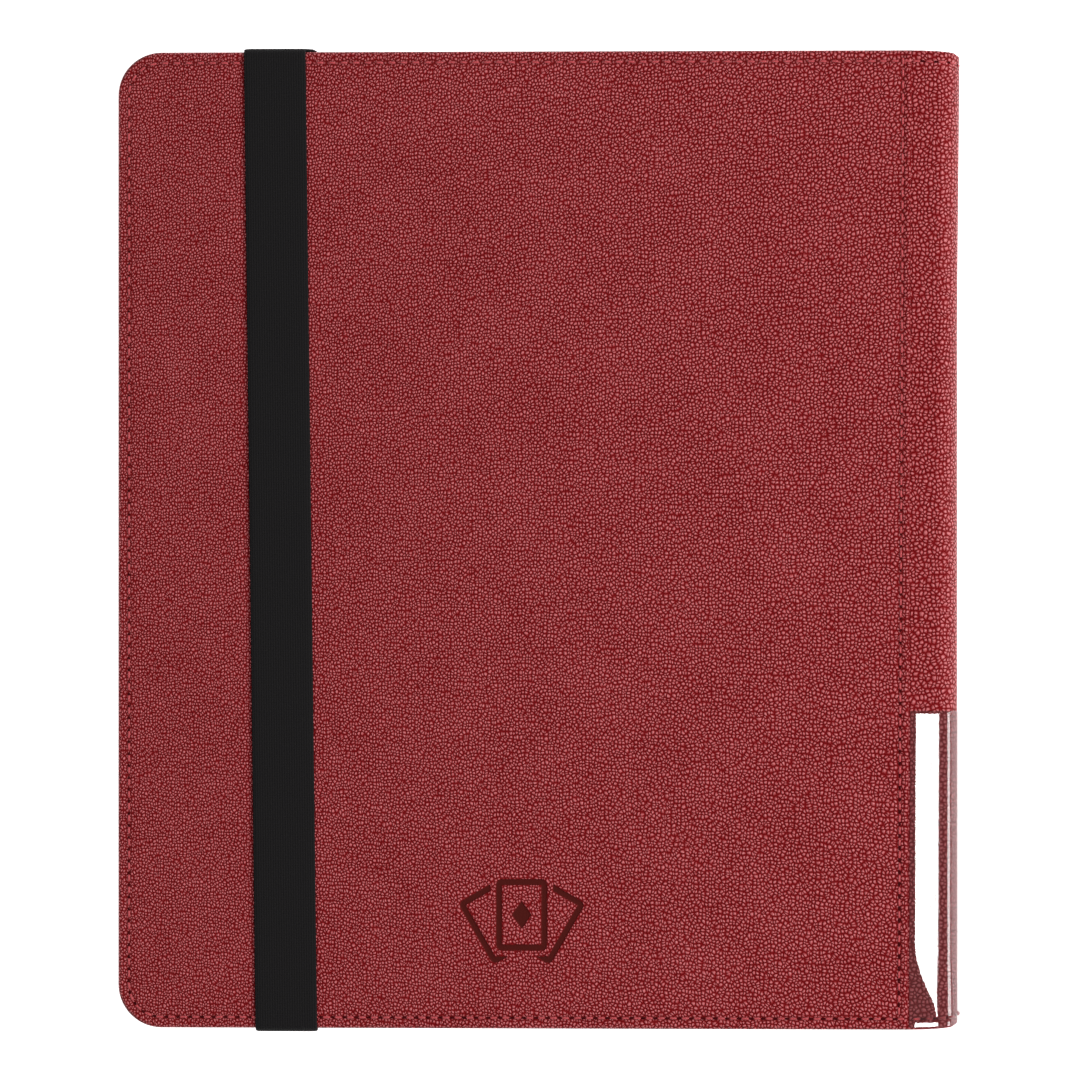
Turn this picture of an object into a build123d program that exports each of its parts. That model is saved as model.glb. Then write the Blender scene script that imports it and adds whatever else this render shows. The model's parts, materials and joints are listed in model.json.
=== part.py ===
from build123d import *
import math
import os

# Trading card binder with twenty fixed leaves of side-loading nine-card pockets.
# It lies closed on its front cover with its back cover up, spine towards +X and head towards +Y.
# The empty leaves are thinner than the spine is wide, so the back cover slopes down to the fore
# edge. A soft leather hinge joins the spine to each cover. An elastic strap, sewn into the back
# cover at head and tail, is parked across the outside of that cover.
# Sections are drawn in X and Z with the seam between front cover and spine at X = 0. Every piece
# moves by to_origin when it is written, which puts the origin under the middle of the binder.

# Leaves and pockets
leaf_count = 20
columns = 3
rows = 3
pocket_width = 70.0
pocket_height = 95.0
weld = 3.0
binding_margin = 20.0
core_thickness = 0.2
film_thickness = 0.12
pocket_gap = 0.1
slit_width = 1.2
leaf_corner = 4.0
root_gap = 0.35
root_pitch = 1.4
root_clearance = 2.1
root_step = 0.4
root_inset = 5.1
fore_air = 0.1
stack_air = 0.3

# Covers
head_overhang = 9.0
fore_overhang = 20.0
corner_radius = 14.0
skin_thickness = 0.8
board_thickness = 1.8
turn_in_thickness = 0.5
lining_thickness = 0.5
edge_rounding = 0.6
hem_width = 5.5
turn_in_width = 15.0
lining_inset = 2.0
lap_width = 8.0
fit = 0.2

# Spine and hinges
spine_bulge = 15.5
hinge_radius = 7.0
hinge_thickness = 1.3
window_thickness = 0.3
window_height = 102.0
window_hem = 0.6
label_gap = 0.2

# Elastic strap
strap_width = 20.0
strap_thickness = 1.0
strap_gap = 0.25
strap_from_fore_edge = 54.6
strap_slant = 0.68
strap_pull_length = 120.0
strap_wrap = 4.0
strap_tab = 12.0

# Debossed badge: a fan of three cards, a diamond pip on the middle one
badge_card_width = 16.5
badge_card_height = 23.0
badge_corner = 1.9
badge_line = 1.9
badge_depth = 0.3
badge_fan = 30.0
badge_pivot = 4.0
badge_pip_width = 6.4
badge_pip_height = 9.0
badge_from_seam = 125.0
badge_from_tail = 25.2

# Sizes that follow
leaf_length = binding_margin + columns * (pocket_width + weld)
leaf_height = rows * (pocket_height + weld) + weld
film_layer = film_thickness + pocket_gap
leaf_thickness = core_thickness + 2 * film_layer
cover_thickness = skin_thickness + board_thickness + turn_in_thickness + lining_thickness
hinge_flat = spine_bulge - hinge_radius
spine_thickness = 2 * (cover_thickness + root_clearance) + (leaf_count - 1) * root_pitch
cover_height = leaf_height + 2 * head_overhang
half_height = cover_height / 2
root_deepest = hinge_flat - root_inset
cover_length = leaf_length - root_deepest + fore_overhang
strap_x = -cover_length + strap_from_fore_edge

# A hinge opens flat when its axis sits here: half the arc's length past the flat of the fold.
half_arc = math.pi * hinge_radius / 4
axis_x = hinge_flat + half_arc
axis_inset = skin_thickness + hinge_radius - half_arc
front_axis = Vector(axis_x, 0, axis_inset)
back_axis = Vector(axis_x, 0, spine_thickness - axis_inset)

# The back cover comes down until it meets the loose stack of leaves at the fore edge.
fore_pitch = leaf_thickness + fore_air
fore_stack_top = cover_thickness + 2 * stack_air + leaf_count * fore_pitch
back_drop = spine_thickness - cover_thickness - fore_stack_top
cover_tilt = math.degrees(math.atan2(back_drop, axis_x + leaf_length - root_deepest))

overall_length = cover_length + spine_bulge + label_gap + window_thickness
to_origin = Pos(cover_length - overall_length / 2, 0, 0)


def leaf_root(k):
    """Where leaf k, counted from 0 at the front cover, leaves the binding: its X and Z."""
    steps_in = min(k, leaf_count - 1 - k)
    deepest_step = (leaf_count - 1) // 2
    x = root_deepest + root_step * (deepest_step - steps_in)
    return x, cover_thickness + root_clearance + k * root_pitch


def leaf_slope(k):
    """How far leaf k slopes down from the binding to its place in the fore edge's stack."""
    fore_z = cover_thickness + stack_air + (k + 0.5) * fore_pitch
    return math.degrees(math.asin((leaf_root(k)[1] - fore_z) / leaf_length))


def prism(section, low_y, high_y):
    """A section drawn in X and Z, run from low_y to high_y."""
    return Pos(0, low_y, 0) * extrude(Plane.XZ * section, amount=low_y - high_y)


def block(low, high):
    """A box between two corners."""
    size = [b - a for a, b in zip(low, high)]
    middle = [(a + b) / 2 for a, b in zip(low, high)]
    return Pos(*middle) * Box(*size)


def plate(inset, seam_x, radius, low_z, high_z):
    """A cover-shaped plate, inset from the cover's edges, rounded at its two fore corners."""
    length = cover_length - inset + seam_x
    outline = Rectangle(length, cover_height - 2 * inset)
    fore_corners = outline.vertices().sort_by(Axis.X)[:2]
    face = Pos(seam_x - length / 2, 0) * fillet(fore_corners, radius)
    return Pos(0, 0, low_z) * extrude(face, amount=high_z - low_z)


def badge():
    """The fan of card outlines and the pip, centred on the middle card's foot."""
    middle = Pos(0, badge_card_height / 2) * RectangleRounded(
        badge_card_width, badge_card_height, badge_corner
    )
    inside = offset(middle, -badge_line)
    spaced = offset(middle, badge_line)
    fan = middle - inside
    for side in (-1, 1):
        lean = Pos(0, -badge_pivot) * Rot(0, 0, side * badge_fan) * Pos(0, badge_pivot)
        fan += lean * (middle - inside) - spaced
    half_width, half_pip = badge_pip_width / 2, badge_pip_height / 2
    fan += Pos(0, badge_card_height / 2) * make_face(
        Polyline((half_width, 0), (0, half_pip), (-half_width, 0), (0, -half_pip), close=True)
    )
    return fan


def cover_skin(strapped):
    """The leather of one cover: outer face, folded hem and the turn-in that grips the board."""
    turn_in_z = skin_thickness + board_thickness
    top_z = turn_in_z + turn_in_thickness
    skin = plate(0, 0, corner_radius, 0, top_z)
    outer_edges = skin.faces().sort_by(Axis.Z)[0].edges()
    skin = fillet(outer_edges, edge_rounding)
    hem_radius = corner_radius - hem_width
    skin -= plate(hem_width, 0, hem_radius, skin_thickness, turn_in_z)
    window_inset = turn_in_width
    skin -= plate(window_inset, 0, edge_rounding, turn_in_z, top_z)
    skin -= block((-lap_width, -half_height, skin_thickness), (1, half_height, top_z))
    if strapped:
        for side in (-1, 1):
            skin -= Pos(0, side * half_height, 0) * strap_notch(turn_in_z, top_z)
        skin -= Pos(-badge_from_seam, -half_height + badge_from_tail, 0) * extrude(
            badge(), amount=badge_depth
        )
    return skin


def strap_notch(low_z, high_z):
    """Room in the turn-in for one sewn end of the strap."""
    reach = strap_tab + fit
    half = strap_width / 2 + fit
    return block((strap_x - half, -reach, low_z), (strap_x + half, reach, high_z))


def cover_board():
    inset = hem_width + fit
    seam_x = -lap_width - fit
    radius = corner_radius - inset
    return plate(inset, seam_x, radius, skin_thickness, skin_thickness + board_thickness)


def cover_lining():
    """Lining cloth, with the backing that levels it inside the turn-ins."""
    turn_in_z = skin_thickness + board_thickness
    top_z = turn_in_z + turn_in_thickness
    cloth = plate(lining_inset, -1, corner_radius - lining_inset, top_z, cover_thickness)
    backing_inset = turn_in_width + fit
    backing = plate(backing_inset, -lap_width - 1, edge_rounding, turn_in_z, top_z)
    return cloth + backing


def on_back(piece):
    """Turns a piece of the front cover over to the back cover's place, sloping to the fore edge."""
    flipped = Pos(0, 0, spine_thickness) * mirror(piece, about=Plane.XY)
    return Pos(*back_axis) * Rot(0, -cover_tilt, 0) * Pos(*-back_axis) * flipped


def fold_edge(depth, seam_x, tilt):
    """One face of the fold from cover to spine, depth mm under the cover's outer face.

    It runs straight from seam_x, then round to the spine's side, for a cover at that tilt.
    Returns its seam end, the arc's start, middle and end, each as X and Z.
    """
    slope = math.radians(tilt)
    radius = hinge_radius + skin_thickness - depth
    side_x = spine_bulge + skin_thickness - depth
    rise = (axis_inset - depth) / math.cos(slope)
    centre_x = side_x - radius

    def face_z(x):
        return axis_inset - rise + (axis_x - x) * math.tan(slope)

    centre_z = face_z(centre_x) + radius / math.cos(slope)
    half_turn = math.radians(45) - slope / 2

    def on_arc(angle):
        return centre_x + radius * math.sin(angle), centre_z - radius * math.cos(angle)

    seam = (seam_x, face_z(seam_x))
    return seam, on_arc(-slope), on_arc(half_turn), on_arc(math.radians(90))


def flipped_points(points):
    return [(x, spine_thickness - z) for x, z in points]


def fold_line(points):
    """The fold's edge as a straight and an arc."""
    seam, start, middle, end = points
    return [Line(seam, start), ThreePointArc(start, middle, end)]


def hinge_section(tilt):
    """The hinge's leather with its lining, from under the cover's leather to the spine board."""
    outer = fold_edge(skin_thickness, -lap_width + fit, tilt)
    inner = fold_edge(skin_thickness + hinge_thickness, -lap_width + fit, tilt)
    inner = (*inner[:3], (inner[3][0], outer[3][1]))
    inner_end = Line(inner[2], inner[3]) if inner[2][1] == inner[3][1] else None
    edges = [*fold_line(outer), Line(outer[3], inner[3])]
    edges += fold_line(inner) if inner_end is None else [inner_end]
    edges.append(Line(inner[0], outer[0]))
    return make_face(Curve() + edges)


def hinge_leather(tilt):
    section = hinge_section(tilt)
    return prism(section, -half_height, half_height)


def window_section():
    """The clear window's section, once round the spine from seam to seam."""
    outer_depth = skin_thickness - label_gap - window_thickness
    inner_depth = skin_thickness - label_gap
    edges = []
    ends = []
    for depth in (outer_depth, inner_depth):
        front = fold_edge(depth, fit, 0)
        back = flipped_points(fold_edge(depth, fit, cover_tilt))
        edges += [*fold_line(front), Line(front[3], back[3]), *fold_line(back)]
        ends.append((front[0], back[0]))
    edges += [Line(ends[0][i], ends[1][i]) for i in (0, 1)]
    return make_face(Curve() + edges)


def label_window():
    """Clear film sewn into the tail hem and both seams, open at the top for a label."""
    low_y = -half_height + window_hem
    return prism(window_section(), low_y, low_y + window_height)


def spine_side():
    """The heights between which the spine's side is flat."""
    low_z = fold_edge(skin_thickness, 0, 0)[3][1]
    high_z = flipped_points(fold_edge(skin_thickness, 0, cover_tilt))[3][1]
    return low_z, high_z


def spine_leather():
    """The leather over the spine board, with a folded hem at head and tail."""
    low_z, high_z = spine_side()
    leather_x = spine_bulge - skin_thickness
    board_x = leather_x - board_thickness
    leather = block((leather_x, -half_height, low_z), (spine_bulge, half_height, high_z))
    for side in (-1, 1):
        hem_y = sorted((side * half_height, side * (half_height - hem_width)))
        leather += block(
            (board_x, hem_y[0], low_z + hinge_thickness),
            (leather_x, hem_y[1], high_z - hinge_thickness),
        )
    return leather


def spine_board():
    low_z, high_z = spine_side()
    leather_x = spine_bulge - skin_thickness
    reach = half_height - hem_width - fit
    margin = hinge_thickness
    return block(
        (leather_x - board_thickness, -reach, low_z + margin),
        (leather_x, reach, high_z - margin),
    )


def spine_lining():
    low_z, high_z = spine_side()
    board_x = spine_bulge - skin_thickness - board_thickness
    reach = half_height - lining_inset
    return block(
        (board_x - lining_thickness, -reach, low_z), (board_x, reach, high_z)
    )


def page_binding():
    """The strip that the leaves are welded to, stepped so that they lie over one another."""
    back_x = spine_bulge - skin_thickness - board_thickness - lining_thickness
    roots = [leaf_root(k) for k in range(leaf_count)]
    middle = (leaf_count - 1) // 2
    foot = root_clearance / 2
    crest = [roots[0], roots[middle], roots[leaf_count - 1 - middle], roots[-1]]
    face = [(x + root_gap, z) for x, z in crest]
    low = (back_x, face[0][1] - foot)
    high = (back_x, face[-1][1] + foot)
    shoulder_low = (face[0][0], low[1])
    shoulder_high = (face[-1][0], high[1])
    outline = Polyline(low, shoulder_low, *face, shoulder_high, high, close=True)
    return prism(make_face(outline), -leaf_height / 2, leaf_height / 2)


def leaf_core():
    """One leaf's backing sheet, its root at the origin and its fore edge towards -X."""
    length = leaf_length - root_gap
    outline = Rectangle(length, leaf_height)
    corners = outline.vertices().sort_by(Axis.X)[:2]
    sheet = Pos(-root_gap - length / 2, 0) * fillet(corners, leaf_corner)
    return extrude(sheet, amount=core_thickness / 2, both=True)


def pocket_film():
    """The clear film on a leaf's upper side: nine pockets, each slit along its spine side."""
    length = leaf_length - binding_margin + weld
    outline = Rectangle(length, leaf_height)
    corners = outline.vertices().sort_by(Axis.X)[:2]
    sheet = Pos(-leaf_length + length / 2, 0) * fillet(corners, leaf_corner)
    low_z = core_thickness / 2
    high_z = low_z + film_layer
    film = Pos(0, 0, low_z) * extrude(sheet, amount=film_layer)
    cuts = []
    for column in range(columns):
        for row in range(rows):
            x = -leaf_length + weld + column * (pocket_width + weld)
            y = -leaf_height / 2 + weld + row * (pocket_height + weld)
            slit_x = x + pocket_width
            top_y = y + pocket_height
            cuts.append(block((x, y, low_z - 1), (slit_x, top_y, low_z + pocket_gap)))
            cuts.append(block((slit_x - slit_width, y, low_z - 1), (slit_x, top_y, high_z + 1)))
    return film - cuts


def leaf_place(k):
    x, z = leaf_root(k)
    return Pos(x, 0, z) * Rot(0, -leaf_slope(k), 0)


def strap_run(low_y, high_y):
    """The strap lying on the cover, between two places along it, leaning over to the fore edge."""
    lean = math.tan(math.radians(strap_slant)) * half_height
    half = strap_width / 2
    run = block((-half, low_y, -strap_gap - strap_thickness), (half, high_y, -strap_gap))
    return Pos(strap_x - lean, 0, 0) * Rot(0, 0, strap_slant) * run


def strap_band():
    """The middle of the strap, which a finger hooks and pulls over the fore edge."""
    return strap_run(-strap_pull_length / 2, strap_pull_length / 2)


def strap_end(side):
    """The rest of the strap at one end, round the cover's edge to the tab under the lining."""
    tab_z = skin_thickness + board_thickness
    edge_y = half_height + strap_gap
    outer_y = edge_y + strap_thickness
    wrap_y = half_height - strap_wrap
    tab_y = half_height - strap_tab
    outline = Polyline(
        (wrap_y, -strap_gap - strap_thickness), (outer_y, -strap_gap - strap_thickness),
        (outer_y, tab_z + turn_in_thickness), (tab_y, tab_z + turn_in_thickness),
        (tab_y, tab_z), (edge_y, tab_z), (edge_y, -strap_gap), (wrap_y, -strap_gap), close=True,
    )
    across = Plane(origin=(strap_x, 0, 0), x_dir=(0, side, 0), z_dir=(side, 0, 0))
    wrap = extrude(across * make_face(outline), amount=strap_width / 2, both=True)
    reach = sorted((side * strap_pull_length / 2, side * wrap_y))
    return strap_run(*reach) + wrap


def write(name, piece):
    export_step(to_origin * piece, f"parts/{name}.step")


def main():
    os.makedirs("parts", exist_ok=True)

    write("front_cover_leather", cover_skin(strapped=False))
    write("front_cover_board", cover_board())
    write("front_cover_lining", cover_lining())
    write("back_cover_leather", on_back(cover_skin(strapped=True)))
    write("back_cover_board", on_back(cover_board()))
    write("back_cover_lining", on_back(cover_lining()))

    write("front_hinge_leather", hinge_leather(0))
    back_hinge = Pos(0, 0, spine_thickness) * mirror(hinge_leather(cover_tilt), about=Plane.XY)
    write("back_hinge_leather", back_hinge)
    write("spine_leather", spine_leather())
    write("spine_board", spine_board())
    write("spine_lining", spine_lining())
    write("label_window", label_window())
    write("page_binding", page_binding())

    core = leaf_core()
    film = pocket_film()
    films = film + mirror(film, about=Plane.XY)
    for k in range(leaf_count):
        write(f"leaf_{k + 1:02d}_sheet", leaf_place(k) * core)
        write(f"leaf_{k + 1:02d}_pockets", leaf_place(k) * films)

    write("strap_band", on_back(strap_band()))
    write("strap_tail_end", on_back(strap_end(-1)))
    write("strap_head_end", on_back(strap_end(1)))

    print(f"cover {cover_length:.1f} x {cover_height:.1f}, spine {spine_thickness:.1f}")
    print(f"overall length {overall_length:.1f}, tilt {cover_tilt:.3f}")
    for name, axis in (("front", front_axis), ("back", back_axis)):
        print(f"{name} hinge axis {(to_origin * Pos(*axis)).position}")


main()
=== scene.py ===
import json
import math

import bpy
import numpy as np
from mathutils import Matrix, Vector


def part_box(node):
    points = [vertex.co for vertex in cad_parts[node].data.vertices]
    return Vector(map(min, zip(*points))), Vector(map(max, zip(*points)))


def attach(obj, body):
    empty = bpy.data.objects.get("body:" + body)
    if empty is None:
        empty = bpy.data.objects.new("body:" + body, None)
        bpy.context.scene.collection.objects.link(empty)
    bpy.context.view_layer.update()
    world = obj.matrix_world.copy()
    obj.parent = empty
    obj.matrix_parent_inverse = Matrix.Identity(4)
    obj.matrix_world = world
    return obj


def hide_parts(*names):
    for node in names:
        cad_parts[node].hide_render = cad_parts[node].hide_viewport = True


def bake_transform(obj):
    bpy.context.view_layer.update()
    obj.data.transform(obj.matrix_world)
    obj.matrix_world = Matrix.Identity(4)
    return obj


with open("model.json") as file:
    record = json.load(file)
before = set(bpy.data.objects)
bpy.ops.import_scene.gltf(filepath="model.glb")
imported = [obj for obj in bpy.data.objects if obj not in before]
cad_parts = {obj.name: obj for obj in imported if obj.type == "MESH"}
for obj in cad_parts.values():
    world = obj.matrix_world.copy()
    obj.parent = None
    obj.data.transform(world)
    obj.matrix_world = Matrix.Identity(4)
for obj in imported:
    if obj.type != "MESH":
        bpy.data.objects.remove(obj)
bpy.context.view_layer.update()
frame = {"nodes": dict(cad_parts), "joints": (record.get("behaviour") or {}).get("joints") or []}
bpy.context.scene.view_settings.view_transform = "Standard"


# ---------------------------------------------------------------------------------------------
# Cover leather, front and back.
# One skin of embossed leatherette a cover, glued over greyboard, its edges turned in round the
# board and stitched, and its spine edge folded to lap over the hinge.
# ---------------------------------------------------------------------------------------------
joints = {joint["name"]: joint for joint in frame["joints"]}
front_fold = Vector(joints["spine_fold"]["pos_m"]) * 1000
back_fold = Vector(joints["back_cover_fold"]["pos_m"]) * 1000
pull = joints["strap_pull"]["axis"]
cover_tilt = math.atan2(-pull[2], -pull[0])
cover_low, cover_high = [corner * 1000 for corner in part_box("front_cover_leather")]
seam_x = cover_high.x
cover_length = cover_high.x - cover_low.x
half_height = cover_high.y
binder_thickness = front_fold.z + back_fold.z
turn_in_depth = cover_high.z

corner_radius = 14.0
edge_rounding = 1.25
turn_in_rounding = 0.5
stitch_inset = 3.5
seam_stitch_inset = 2.8
groove_depth = 0.22
groove_width = 0.75
groove_press_and_shade = 0.3
ridge_rise = 0.3
ridge_width = 2.6
ridge_round = 0.9
lap_depth = 0.8
seam_slant = 0.7
slant_fades = (60, 8)


def on_front(points):
    """Cover coordinates, mm: X from the seam, Y from the middle and depth under the outer face."""
    x, y, depth = np.asarray(points, float).T
    return np.stack([x + seam_x, y, depth], 1)


def on_back(points):
    """The same for the back cover, which lies face up and slopes down to the fore edge."""
    x, y, depth = np.asarray(points, float).T
    dx = x + seam_x - back_fold.x
    dz = binder_thickness - depth - back_fold.z
    run, rise = math.cos(cover_tilt), math.sin(cover_tilt)
    return np.stack([back_fold.x + dx * run - dz * rise, y, back_fold.z + dx * rise + dz * run], 1)


def bell(distance, width):
    return np.exp(-((np.asarray(distance, float) / width) ** 2))


def smooth_step(value, low, high):
    t = np.clip((np.asarray(value, float) - low) / (high - low), 0, 1)
    return t * t * (3 - 2 * t)


def add_piece(name, points, faces, material, smooth=True, unrolled=None):
    """A mesh object from points in mm. unrolled is each point's place on the flat skin, in mm."""
    mesh = bpy.data.meshes.new(name)
    mesh.from_pydata([tuple(p) for p in np.asarray(points) / 1000], [], faces)
    mesh.validate()
    mesh.polygons.foreach_set("use_smooth", [smooth] * len(mesh.polygons))
    mesh.materials.append(material)
    if unrolled is not None:
        corners = np.zeros(len(mesh.loops), int)
        mesh.loops.foreach_get("vertex_index", corners)
        layer = mesh.uv_layers.new(name="unrolled")
        layer.data.foreach_set("uv", np.asarray(unrolled, float)[corners].ravel())
    piece = bpy.data.objects.new(name, mesh)
    bpy.context.scene.collection.objects.link(piece)
    return piece


def grid_faces(rows, columns, start=0, flip=False, close=False):
    """Quads over a grid of points, row by row. close joins the last row to the first."""
    faces = []
    for row in range(rows if close else rows - 1):
        a = start + row * columns
        b = start + ((row + 1) % rows) * columns
        for column in range(columns - 1):
            quad = (a + column, a + column + 1, b + column + 1, b + column)
            faces.append(quad[::-1] if flip else quad)
    return faces


def to_linear(colour):
    """An sRGB hex colour as linear RGBA."""
    parts = [int(colour[i:i + 2], 16) / 255 for i in (0, 2, 4)]
    linear = [c / 12.92 if c <= 0.04045 else ((c + 0.055) / 1.055) ** 2.4 for c in parts]
    return (*linear, 1.0)


def add_node(tree, kind, settings=None, **links):
    """Adds a node. A link's name is its input's, with _ for a space, or in0, in1 by number.

    What it links to is a socket, or a node, for its first output, or a plain value.
    """
    node = tree.nodes.new(kind)
    for name, value in (settings or {}).items():
        if name == "stops":
            elements = node.color_ramp.elements
            while len(elements) < len(value):
                elements.new(0.5)
            for element, (position, colour) in zip(elements, value):
                element.position = position
                element.color = to_linear(colour)
        elif hasattr(node, name):
            setattr(node, name, value)
        else:
            node.inputs[name].default_value = value
    for name, value in links.items():
        number = name[2:]
        socket = node.inputs[int(number) if number.isdigit() else name.replace("_", " ")]
        if isinstance(value, bpy.types.Node):
            value = value.outputs[0]
        if isinstance(value, bpy.types.NodeSocket):
            tree.links.new(value, socket)
        else:
            socket.default_value = value
    return node


def new_material(name):
    """An empty material with its shader: its node tree and its shader node."""
    material = bpy.data.materials.new(name)
    material.use_nodes = True
    tree = material.node_tree
    return material, tree, tree.nodes["Principled BSDF"]


def embossed_leather(name, painted_crease_shade, body, painted_crest_highlight, burnt_and_groove_shade, grain_mm, smoothness):
    """Polyurethane leatherette, embossed with a pebble grain on a roller and lightly polished.

    The eye sees soft pebbles that catch the light on their crests, darker in the creases. The
    colour carries a painted highlight on the crests and painted shade in the creases, over each
    pebble's random tone.
    """
    material, tree, shader = new_material(name)
    flat = add_node(tree, "ShaderNodeUVMap", {"uv_map": "unrolled"})
    # The pebbles' rows wander, so that no straight lines of them show.
    wander = add_node(
        tree, "ShaderNodeTexNoise", {"noise_dimensions": "2D", "Scale": 0.35, "Detail": 1.0},
        Vector=flat,
    )
    bent = add_node(
        tree, "ShaderNodeMixRGB", {"blend_type": "LINEAR_LIGHT"},
        Fac=0.5, Color1=flat, Color2=wander.outputs["Color"],
    )
    cells = {"voronoi_dimensions": "2D", "Scale": 1 / grain_mm, "Randomness": 0.85}
    pebbles = add_node(tree, "ShaderNodeTexVoronoi", {"feature": "F1", **cells}, Vector=bent)
    creases = add_node(
        tree, "ShaderNodeTexVoronoi", {"feature": "DISTANCE_TO_EDGE", **cells}, Vector=bent
    )
    pores = add_node(
        tree, "ShaderNodeTexNoise", {"noise_dimensions": "2D", "Scale": 1 / 0.4, "Detail": 2.0},
        Vector=flat,
    )
    broad = add_node(
        tree, "ShaderNodeTexNoise", {"noise_dimensions": "2D", "Scale": 1 / 26, "Detail": 3.0},
        Vector=flat,
    )
    smooth = {"interpolation_type": "SMOOTHSTEP"}
    dome = add_node(
        tree, "ShaderNodeMapRange",
        {**smooth, "From Min": 0.08, "From Max": 0.6, "To Min": 1.0, "To Max": 0.0}, Value=pebbles,
    )
    ditch = add_node(
        tree, "ShaderNodeMapRange", {**smooth, "From Min": 0.0, "From Max": 0.3}, Value=creases
    )
    multiply_add = {"operation": "MULTIPLY_ADD"}
    height = add_node(tree, "ShaderNodeMath", multiply_add, in0=ditch, in1=0.95, in2=dome)
    height = add_node(tree, "ShaderNodeMath", multiply_add, in0=pores, in1=0.25, in2=height)
    # The badge's die and the pull of the thread flatten the grain. Both also darken the colour: the
    # die's burnt mark is the badge's own colour, while the darkening in the stitch groove is
    # painted shade.
    pressed = add_node(tree, "ShaderNodeAttribute", {"attribute_name": "pressed"}).outputs["Fac"]
    kept = add_node(tree, "ShaderNodeMapRange", {"To Min": 1.0, "To Max": 0.12}, Value=pressed)
    height = add_node(tree, "ShaderNodeMath", {"operation": "MULTIPLY"}, in0=height, in1=kept)
    own = add_node(tree, "ShaderNodeSeparateColor", in0=pebbles.outputs["Color"])
    tone = add_node(tree, "ShaderNodeMath", multiply_add, in0=own, in1=0.4, in2=height)
    tone = add_node(tree, "ShaderNodeMath", multiply_add, in0=broad, in1=0.35, in2=tone)
    tone = add_node(tree, "ShaderNodeMapRange", {"From Min": 0.38, "From Max": 2.4}, Value=tone)
    # Painted shade in the creases and a painted highlight on the crests: the colour follows the
    # grain's height, plus random tone per pebble and in broad patches.
    stops = [(0.0, painted_crease_shade), (0.45, body), (0.95, painted_crest_highlight)]
    colour = add_node(tree, "ShaderNodeValToRGB", {"stops": stops}, in0=tone)
    # The burnt colour is the badge's own. In the stitch groove, where it is mixed in by depth, it
    # is painted shade.
    colour = add_node(
        tree, "ShaderNodeMixRGB", Fac=pressed, Color1=colour, Color2=to_linear(burnt_and_groove_shade)
    )
    rough = add_node(
        tree, "ShaderNodeMapRange",
        {"From Min": 0.4, "From Max": 1.9, "To Min": smoothness + 0.2, "To Max": smoothness},
        Value=height,
    )
    # Painted shade on the gloss: little light gets into the creases or out again, so the specular
    # tint darkens there.
    crease_gloss_shade = add_node(tree, "ShaderNodeMapRange", {"From Min": 0.25, "From Max": 1.5}, Value=height)
    stops = [(0.0, "300808"), (0.6, "b89a9a"), (1.0, "ffffff")]
    crease_gloss_shade = add_node(tree, "ShaderNodeValToRGB", {"stops": stops}, in0=crease_gloss_shade)
    bump = add_node(tree, "ShaderNodeBump", {"Strength": 1.0, "Distance": 0.00019}, Height=height)
    tree.links.new(colour.outputs[0], shader.inputs["Base Color"])
    tree.links.new(rough.outputs[0], shader.inputs["Roughness"])
    tree.links.new(crease_gloss_shade.outputs[0], shader.inputs["Specular Tint"])
    tree.links.new(bump.outputs[0], shader.inputs["Normal"])
    shader.inputs["Specular IOR Level"].default_value = 0.45
    return material


# Of its colours, 6c0b0f is painted crease shade and c35f63 a painted crest highlight.
red_leatherette = embossed_leather(
    "embossed_leatherette", "6c0b0f", "8b1b1f", "c35f63", "4c1a17", grain_mm=1.08, smoothness=0.38
)

# The roller's grain is finer toward the fore edge: grains per unit length, against the nominal.
grain_at_seam = 0.89
grain_gain = 0.0007
spine_grain = 0.83


def edge_profile(thickness, rounding, inner_rounding, flap):
    """Insets from the edge and depths, from the outer face round the edge to the turned-in flap."""
    turned = [(flap, thickness), (inner_rounding + 1, thickness)]
    for step in range(4):
        angle = math.radians(90 * step / 3)
        turned.append((
            inner_rounding * (1 - math.sin(angle)),
            thickness - inner_rounding * (1 - math.cos(angle)),
        ))
    for step in range(9):
        angle = math.radians(90 * step / 8)
        turned.append((rounding * (1 - math.cos(angle)), rounding * (1 - math.sin(angle))))
    return turned


def groove(inset):
    return groove_depth * bell(inset - stitch_inset, groove_width)


def seam_shift(y):
    """The seam was folded a little out of square: its head end is farther from the fore edge."""
    return seam_slant * np.asarray(y) / half_height


# The badge: a fan of three cards, the middle one with a diamond pip, pressed in with a hot die.
card_width = 16.5
card_height = 23.0
card_corner = 1.9
line_width = 1.9
press_depth = 0.3
pip_width = 6.4
pip_height = 9.0
fan_angle = 30.0
fan_pivot = 4.0
badge_from_seam = 125.0
badge_from_tail = 25.2
badge_half_width = 25.0
badge_below = 9.0
badge_above = 27.0
badge_grid = 0.3
cover_grid = 2.4


def card_distance(x, y, lean):
    """How far outside one card of the fan's outline a point is."""
    angle = math.radians(lean)
    px = x * math.cos(angle) + (y + fan_pivot) * math.sin(angle)
    py = -x * math.sin(angle) + (y + fan_pivot) * math.cos(angle) - fan_pivot
    qx = np.abs(px) - card_width / 2 + card_corner
    qy = np.abs(py - card_height / 2) - card_height / 2 + card_corner
    outside = np.hypot(np.maximum(qx, 0), np.maximum(qy, 0))
    return outside + np.minimum(np.maximum(qx, qy), 0) - card_corner


def badge_pressed(x, y):
    """How far the die has pressed a point of the cover, from 0 to 1."""
    x = x + badge_from_seam
    y = y + half_height - badge_from_tail
    middle = card_distance(x, y, 0)
    line = np.abs(middle + line_width / 2) - line_width / 2
    for lean in (-fan_angle, fan_angle):
        card = card_distance(x, y, lean)
        edge = np.abs(card + line_width / 2) - line_width / 2
        line = np.minimum(line, np.maximum(edge, line_width - middle))
    pip = np.abs(x) / pip_width + np.abs(y - card_height / 2) / pip_height - 0.5
    line = np.minimum(line, pip * pip_width * 0.8)
    return 1 - smooth_step(line, -0.22, 0.18)


def spaced(low, high, pitch):
    return np.linspace(low, high, max(2, round((high - low) / pitch) + 1))


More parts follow.
